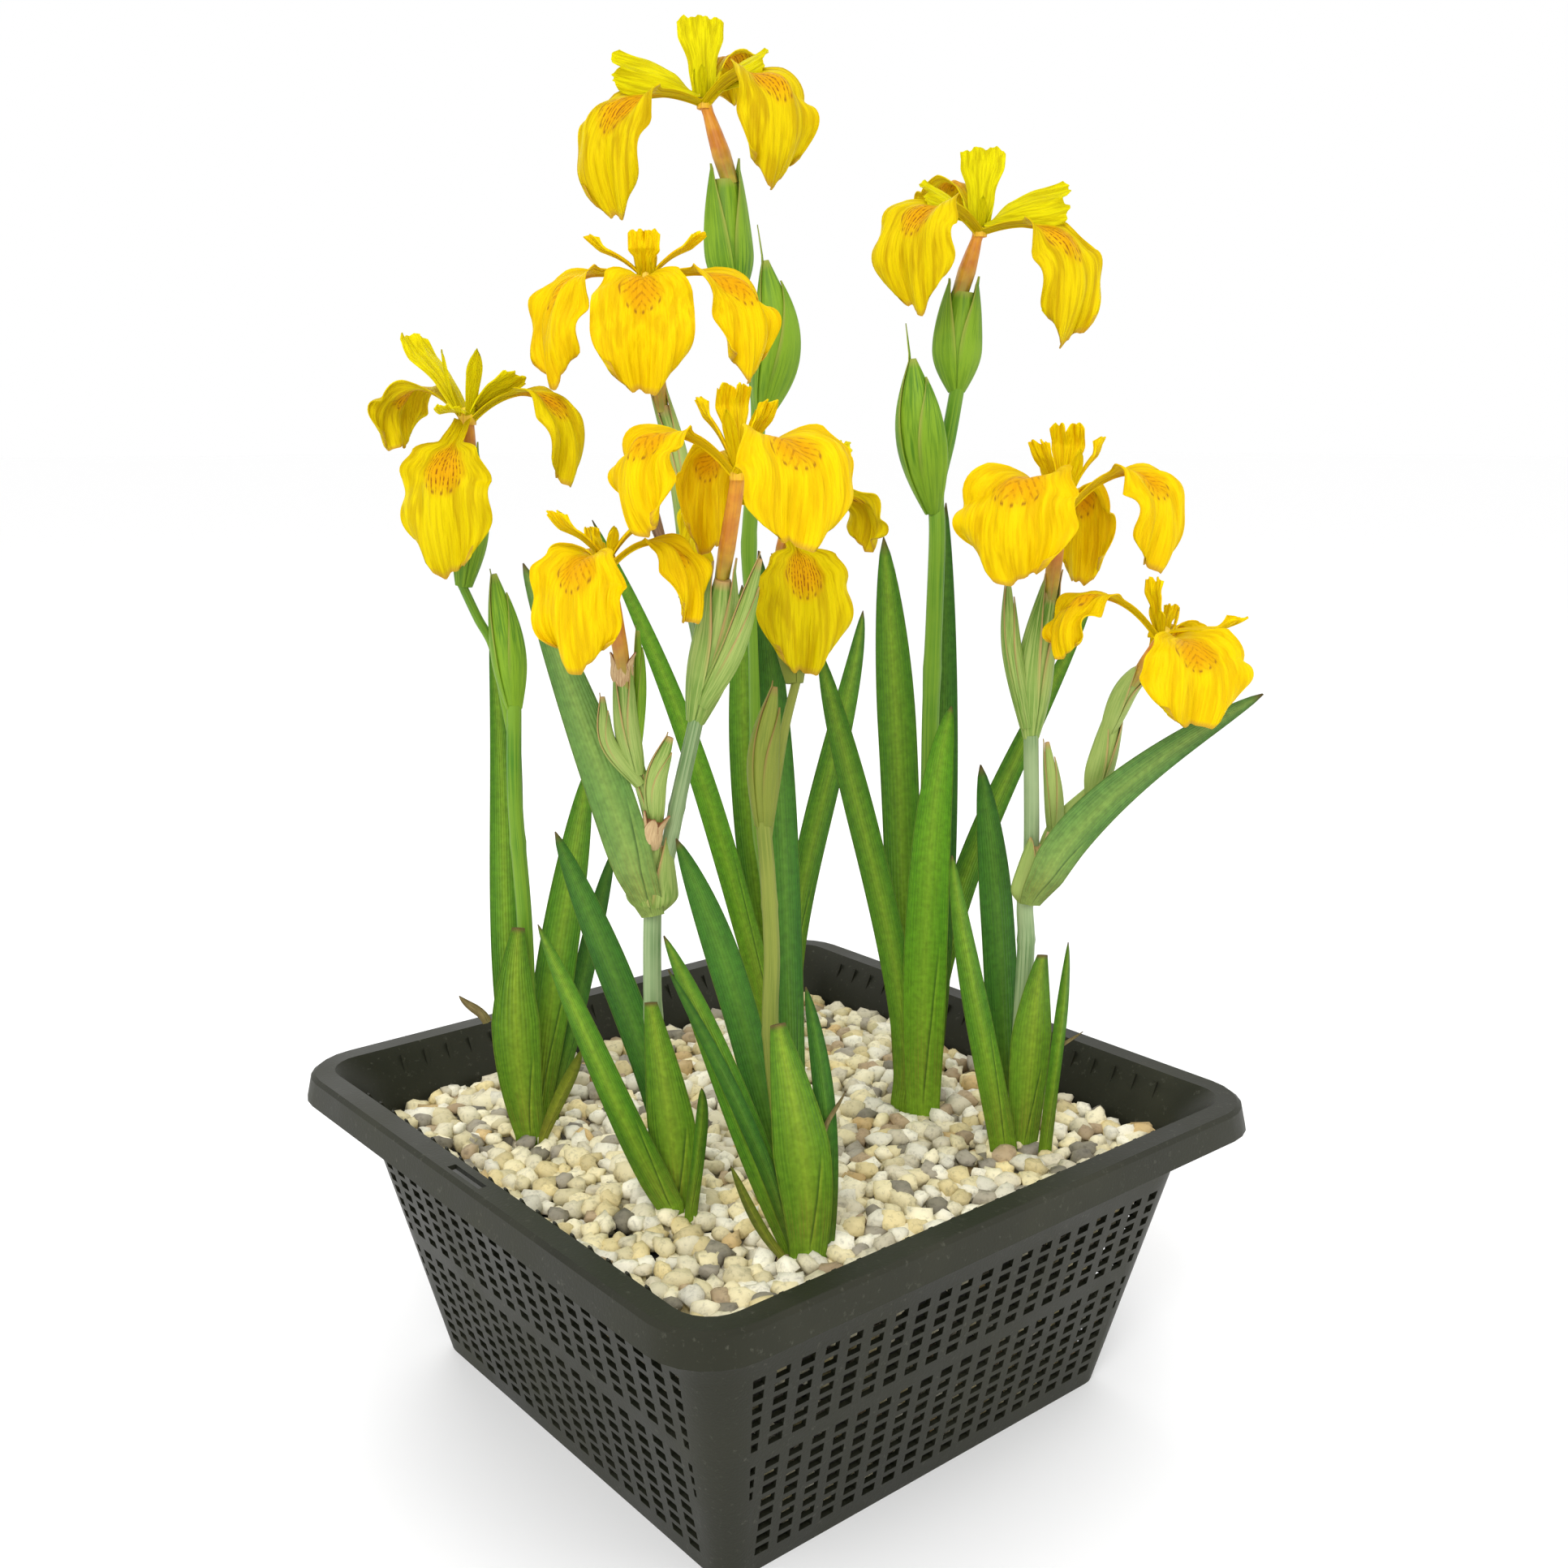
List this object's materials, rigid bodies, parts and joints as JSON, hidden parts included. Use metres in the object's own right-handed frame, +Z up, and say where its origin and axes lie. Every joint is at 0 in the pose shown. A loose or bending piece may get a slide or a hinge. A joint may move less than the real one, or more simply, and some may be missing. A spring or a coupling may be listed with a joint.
{
  "type": "yellow flag iris in a pond basket",
  "caption": "Square open-topped mesh planting basket of gravel with fans of upright sword leaves and flowering stems that carry green buds, spathes and drooping yellow iris flowers.",
  "frame": {"origin": "centre of the basket's flat underside, on the surface it stands on", "axes": "+Z up, along the stems; +X and +Y along the basket's sides, its front corner in the picture lies between -X and -Y"},
  "size_m": [0.3033, 0.3074, 0.5861],
  "materials": {
    "basket_plastic": "matt moulded black plastic mesh",
    "gravel": "rounded pale pea gravel",
    "leaf": "satin green leaf with fine parallel ribs",
    "stem": "satin green stem",
    "spathe": "satin green sheath with papery edges",
    "petal": "soft yellow petal with brown signal lines"
  },
  "bodies": {
    "root": {"basket": "basket_plastic", "gravel": "gravel", "leaf_a_1": "leaf", "leaf_a_2": "leaf", "leaf_a_3": "leaf", "leaf_a_4": "leaf", "leaf_a_5": "leaf", "leaf_b_1": "leaf", "leaf_b_2": "leaf", "leaf_b_3": "leaf", "leaf_b_4": "leaf", "leaf_c_1": "leaf", "leaf_c_2": "leaf", "leaf_c_3": "leaf", "leaf_c_4": "leaf", "leaf_d_1": "leaf", "leaf_d_2": "leaf", "leaf_d_3": "leaf", "leaf_d_4": "leaf", "leaf_d_5": "leaf", "leaf_e_1": "leaf", "leaf_e_2": "leaf", "leaf_e_3": "leaf", "leaf_e_4": "leaf", "leaf_f_1": "leaf", "leaf_f_2": "leaf", "leaf_f_3": "leaf", "bract_leaf_b_long": "leaf", "bract_leaf_e_long": "leaf", "fan_a_stem": "stem", "fan_a_branch": "stem", "fan_b_stem": "stem", "fan_b_back_stem": "stem", "fan_c_stem": "stem", "fan_c_branch": "stem", "fan_d_stem": "stem", "fan_e_stem": "stem", "fan_f_stem": "stem", "fan_a_bud": "spathe", "fan_a_spathe": "spathe", "fan_b_spathe": "spathe", "fan_b_back_spathe": "spathe", "fan_b_side_shoot": "spathe", "fan_c_bud": "spathe", "fan_c_spathe": "spathe", "fan_d_bud": "spathe", "fan_d_spathe": "spathe", "fan_e_spathe": "spathe", "fan_e_side_shoot": "spathe", "fan_f_bud": "spathe", "fan_f_spathe": "spathe", "fan_a_flower": "petal", "fan_b_flower_high": "petal", "fan_b_flower_low": "petal", "fan_b_flower_back": "petal", "fan_c_flower": "petal", "fan_d_flower": "petal", "fan_e_flower_high": "petal", "fan_e_flower_low": "petal", "fan_f_flower": "petal"}
  },
  "joints": []
}
